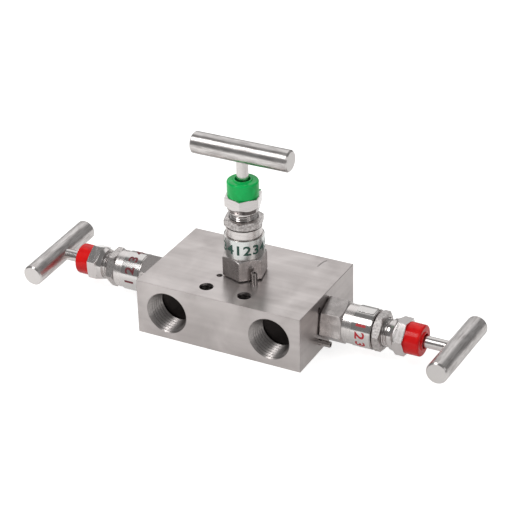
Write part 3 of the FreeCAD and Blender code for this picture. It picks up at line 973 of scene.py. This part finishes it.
def wrapTooth(bm, baseRadius, crestRadius, pitch, turns, start, steps=60, crestShare=0.2):
    # one thread tooth swept along its helix, closed at both ends; its crest is a flat that takes
    # up a share of the pitch, with a narrow strip along both edges that keeps its shading flat
    crestEdge = pitch * crestShare / 2
    corner = min(crestCorner, crestEdge / 2)
    outline = [
        (baseRadius, -pitch / 2), (crestRadius, -crestEdge), (crestRadius, corner - crestEdge),
        (crestRadius, crestEdge - corner), (crestRadius, crestEdge), (baseRadius, pitch / 2),
    ]
    corners = [bm.verts.new((radius, 0, start + height)) for radius, height in outline]
    tooth = bm.faces.new(corners)
    before = set(bm.faces) - {tooth}
    count = round(steps * turns)
    bmesh.ops.spin(
        bm, geom=[tooth], cent=(0, 0, 0), axis=(0, 0, 1), dvec=(0, 0, pitch / steps),
        angle=fullTurn * count / steps, steps=count,
    )
    made = [face for face in bm.faces if face not in before]
    bmesh.ops.recalc_face_normals(bm, faces=made)


# Dust cap: moulded skirt with rounded shoulder and a raised lip round the spindle

cap = {
    "start": 41.5, "end": 48.9, "radius": 7.6, "boss": 6.35, "roof": 46.7,
    "shoulder": 0.9, "shoulderSteps": 6, "draft": 0.06, "shadeRing": 0.12, "hole": 3.7,
    "lipRadius": 4.45, "lipEnd": 49.5, "lipFoot": 0.35, "lipFootHeight": 0.25, "lipDraft": 0.1,
    "edgeWidth": 0.1,
}


def makeCap(name, material):
    size = cap
    shoulderCentre = (
        size["radius"] - size["draft"] - size["shoulder"], size["end"] - size["shoulder"],
    )
    # a ring just under the shoulder keeps the skirt's shading straight
    outline = [
        (size["boss"], size["start"]), (size["radius"], size["start"]),
        (size["radius"] - size["draft"], shoulderCentre[1] - size["shadeRing"]),
    ]
    for step in range(size["shoulderSteps"] + 1):
        turn = radians(90 / size["shoulderSteps"] * step)
        outline.append((
            shoulderCentre[0] + size["shoulder"] * math.cos(turn),
            shoulderCentre[1] + size["shoulder"] * math.sin(turn),
        ))
    outline += [
        (shoulderCentre[0] - size["shadeRing"], size["end"]),
        (size["lipRadius"] + size["lipFoot"], size["end"]),
        (size["lipRadius"], size["end"] + size["lipFootHeight"]),
        (size["lipRadius"] - size["lipDraft"], size["lipEnd"]),
        (size["hole"], size["lipEnd"]),
        (size["hole"], size["roof"]),
        (size["boss"], size["roof"]),
    ]
    bm = turnedPiece(outline)
    if name == "equalise":
        addNub(bm)
    keepPiece(
        bm, name + "_moulded_cap", valveFrame(name), material, rootBody,
        [name + "_dust_cap"], size["edgeWidth"],
    )


nub = {
    "angle": 28.0, "height": 43.4, "length": 1.0, "standOut": 0.4, "rootWidth": 0.8, "tipShare": 2 / 3,
}


def addNub(bm):
    # the mould's gate leaves a small pip on the skirt
    made = bmesh.ops.create_cone(
        bm, cap_ends=True, segments=10, depth=nub["length"],
        radius1=nub["rootWidth"] / 2, radius2=nub["rootWidth"] / 2 * nub["tipShare"],
        matrix=(
            Matrix.Rotation(radians(nub["angle"]), 4, "Z")
            @ Matrix.Translation((cap["radius"] + nub["standOut"], 0, nub["height"]))
            @ Matrix.Rotation(radians(90), 4, "Y")
        ),
    )
    faces = {face for vert in made["verts"] for face in vert.link_faces}
    bmesh.ops.recalc_face_normals(bm, faces=list(faces))


# Identity band: a sleeve with a lapped end and plain numbers

band = {
    "inner": 9.4, "outer": 9.62, "width": 9.5, "edgeWidth": 0.06,
    "lapLength": 7.0, "lapWidth": 8.6, "lapThickness": 0.3, "lapSink": 0.05,
    "lapCorner": 0.9, "lapCornerSteps": 5,
    "numberHeight": 4.9, "numberWidth": 1.2, "inkThickness": 0.03, "boldness": 0.026,
    "cutReach": 4.0, "cutSpacing": 0.35,
}


def makeBand(name, material):
    start = valves[name]["bandStart"]
    bm = turnedPiece([
        (band["inner"], start), (band["outer"], start),
        (band["outer"], start + band["width"]), (band["inner"], start + band["width"]),
    ], steps=128)
    keepPiece(
        bm, name + "_sleeve", valveFrame(name), material, rootBody, [name + "_id_band"],
        band["edgeWidth"],
    )
    keepPiece(
        lapMesh(valves[name]["lapAngle"], start + band["width"] / 2), name + "_sleeve_lap",
        valveFrame(name), material, rootBody, (), band["edgeWidth"],
    )


def wrapRound(bm, turn, middle, radius):
    # bends a flat shape in mm round the sleeve: X runs round it, Y along it and Z outwards
    edge = -band["cutReach"]
    while edge < band["cutReach"]:
        bmesh.ops.bisect_plane(
            bm, geom=bm.verts[:] + bm.edges[:] + bm.faces[:], dist=cutTolerance,
            plane_co=(edge, 0, 0), plane_no=(1, 0, 0),
        )
        edge += band["cutSpacing"]
    for vert in bm.verts:
        angle = turn + vert.co.x / radius
        reach = radius + vert.co.z
        vert.co = Vector((reach * math.cos(angle), reach * math.sin(angle), middle + vert.co.y))


def lapMesh(lapAngle, middle):
    # the sleeve's free end, with rounded corners, lies over its other end
    bm = bmesh.new()
    across = band["lapLength"] / 2 - band["lapCorner"]
    along = band["lapWidth"] / 2 - band["lapCorner"]
    corners = []
    centres = ((across, along), (-across, along), (-across, -along), (across, -along))
    for quarter, (right, up) in enumerate(centres):
        for step in range(band["lapCornerSteps"] + 1):
            turn = radians(90 * (quarter + step / band["lapCornerSteps"]))
            corners.append(bm.verts.new((
                right + band["lapCorner"] * math.cos(turn),
                up + band["lapCorner"] * math.sin(turn), -band["lapSink"],
            )))
    plate = bm.faces.new(corners)
    raised = bmesh.ops.extrude_face_region(bm, geom=[plate])
    for item in raised["geom"]:
        if isinstance(item, bmesh.types.BMVert):
            item.co.z = band["lapThickness"]
    wrapRound(bm, radians(lapAngle), middle, band["outer"])
    bmesh.ops.recalc_face_normals(bm, faces=bm.faces)
    return bm


def numberMesh(text):
    # one character as a thin solid, its height 1 and centred on the origin
    curve = bpy.data.curves.new("number", "FONT")
    curve.body = text
    curve.extrude = 0.5
    curve.offset = band["boldness"]
    curve.resolution_u = 5
    writing = bpy.data.objects.new("number", curve)
    bpy.context.scene.collection.objects.link(writing)
    bpy.context.view_layer.update()
    mesh = bpy.data.meshes.new_from_object(writing)
    bpy.data.objects.remove(writing)
    bm = bmesh.new()
    bm.from_mesh(mesh)
    bpy.data.meshes.remove(mesh)
    bmesh.ops.remove_doubles(bm, verts=bm.verts, dist=cutTolerance)
    return bm


def makeNumbers(name, material):
    setup = valves[name]
    total = bmesh.new()
    middle = setup["bandStart"] + band["width"] / 2
    for index in range(setup["numberPlaces"]):
        if index in setup["barePlaces"]:
            continue
        bm = numberMesh(str((index + 1) % 10))
        low = [min(vert.co[axis] for vert in bm.verts) for axis in range(2)]
        high = [max(vert.co[axis] for vert in bm.verts) for axis in range(2)]
        scale = band["numberHeight"] / (high[1] - low[1])
        for vert in bm.verts:
            vert.co.x = (vert.co.x - (low[0] + high[0]) / 2) * scale * band["numberWidth"]
            vert.co.y = (vert.co.y - (low[1] + high[1]) / 2) * scale
            vert.co.z = math.copysign(band["inkThickness"] / 2, vert.co.z) + band["inkThickness"] / 4
        turn = radians(setup["firstNumber"]) + fullTurn * index / setup["numberPlaces"]
        wrapRound(bm, turn, middle, band["outer"])
        mesh = bpy.data.meshes.new("number")
        bm.to_mesh(mesh)
        bm.free()
        total.from_mesh(mesh)
        bpy.data.meshes.remove(mesh)
    bmesh.ops.recalc_face_normals(total, faces=total.faces)
    keepPiece(total, name + "_band_numbers", valveFrame(name), material, rootBody, (), 0)


# Pipe ports: taper threads in all four, with the countersink cut through their first turns

ports = {
    "spacing": 54.0, "rootRadius": 10.33, "crestRadius": 9.5, "mouthRadius": 10.6, "pitch": 1.814,
    "depth": 13.9, "taper": 1 / 32, "crestShare": 0.15, "belowFace": 0.03, "steps": 72,
}


def makePortThreads(material):
    low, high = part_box("valve_block")
    for side in (-1, 1):
        for facing, face in ((-1, low[1]), (1, high[1])):
            bm = bmesh.new()
            turns = ports["depth"] / ports["pitch"] - 0.5
            wrapTooth(bm, ports["rootRadius"], ports["crestRadius"], ports["pitch"],
                      turns, 0.0, ports["steps"], ports["crestShare"])
            for vert in bm.verts:
                depth = max(vert.co.z, ports["belowFace"])
                radius = math.hypot(vert.co.x, vert.co.y)
                wanted = max(radius - depth * ports["taper"], ports["mouthRadius"] - depth)
                vert.co = Vector((vert.co.x * wanted / radius, vert.co.y * wanted / radius, depth))
            place = Vector((side * ports["spacing"] / 2 * mm, face, (low[2] + high[2]) / 2))
            turn = Matrix.Rotation(radians(90 * facing), 4, "X")
            ownFrame = Matrix.Translation(place) @ turn @ Matrix.Scale(mm, 4)
            name = ("left" if side < 0 else "right") + ("_process" if facing < 0 else "_instrument")
            keepPiece(bm, name + "_port_thread", ownFrame, material, rootBody, (), 0)


# Mounting holes: metric threads cut into both

mountHoles = {
    "spacing": 20.0, "inset": 9.0, "rootRadius": 3.42, "crestRadius": 3.05, "pitch": 1.25,
    "depth": 12.5, "lead": 0.25, "crestShare": 0.15, "steps": 48,
}


def makeMountThreads(material):
    size = mountHoles
    low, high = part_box("valve_block")
    for side in (-1, 1):
        bm = bmesh.new()
        turns = size["depth"] / size["pitch"] - 1
        wrapTooth(bm, size["rootRadius"], size["crestRadius"], size["pitch"],
                  turns, size["lead"] + size["pitch"] / 2, size["steps"], size["crestShare"])
        place = Vector((side * size["spacing"] / 2 * mm, low[1] + size["inset"] * mm, high[2]))
        turn = Matrix.Rotation(radians(180), 4, "X")
        ownFrame = Matrix.Translation(place) @ turn @ Matrix.Scale(mm, 4)
        name = "left" if side < 0 else "right"
        keepPiece(bm, name + "_mounting_thread", ownFrame, material, rootBody, (), 0)


# Finishes by material slot, and the ones that only the pieces modelled here use

# the bonnet's hexagon is left as drawn, the gland is turned all over and the nut milled all over
justAbove = 0.05
finishes = {
    "block_steel": groundBlockSteel(),
    "bonnet_steel": turnedSteel(
        "turned bonnet and drawn hexagon", "barrel", "hexagon", bonnet["hexEnd"] + justAbove,
        turnedFinish["blotchSize"], turnedFinish["ringDepth"],
    ),
    "gland_steel": turnedSteel(
        "turned gland", "gland", "gland", 0.0, turnedFinish["blotchSize"], turnedFinish["ringDepth"],
    ),
    "nut_steel": turnedSteel(
        "rough planed lock nut", "gland", "nut", lockNut["end"] + justAbove,
        turnedFinish["nutBlotch"], turnedFinish["nutDepth"],
    ),
    "spindle_steel": smallSteel(smallSteels["spindle_steel"]),
    "pin_steel": smallSteel(smallSteels["pin_steel"]),
    "screw_steel": smallSteel(smallSteels["screw_steel"]),
    "graphite": softFinish(softFinishes["graphite"]),
    "ptfe": softFinish(softFinishes["ptfe"]),
    "red_cap": mouldedCap(capFinishes["red_cap"]),
    "green_cap": mouldedCap(capFinishes["green_cap"]),
    "band": sleeveSteel("isolate"),
    "pale_band": sleeveSteel("equalise"),
    "thread": tappedSteel(threadFinishes["thread"]),
    "dark_thread": tappedSteel(threadFinishes["dark_thread"]),
}
print("stage: finishes made")

for valve in valves:
    makeBonnet(valve, finishes["bonnet_steel"])
    makeLockNut(valve, finishes["nut_steel"])
    makeAdjuster(valve, finishes["gland_steel"])
    makeCap(valve, finishes[valves[valve]["cap"]])
    makeBand(valve, finishes[valves[valve]["sleeve"]])
    makeNumbers(valve, printedInk(valve))
    print("stage: dressed", valve)
makePortThreads(finishes["thread"])
makeMountThreads(finishes["dark_thread"])
print("stage: threads cut")

for name, node in frame["nodes"].items():
    finish = finishes.get(slotOf[name])
    if slotOf[name] == "bar_steel":
        valve = name.replace("_tee_bar", "")
        turn = Matrix.Rotation(radians(valves[valve]["barAngle"]), 4, "Z")
        alongBar = valveFrame(valve) @ turn @ Matrix.Rotation(radians(90), 4, "Y")
        finish = polishedBarSteel("polished drawn bar " + valve, alongBar)
    for slot in node.material_slots:
        slot.material = finish
print("stage: finishes on")
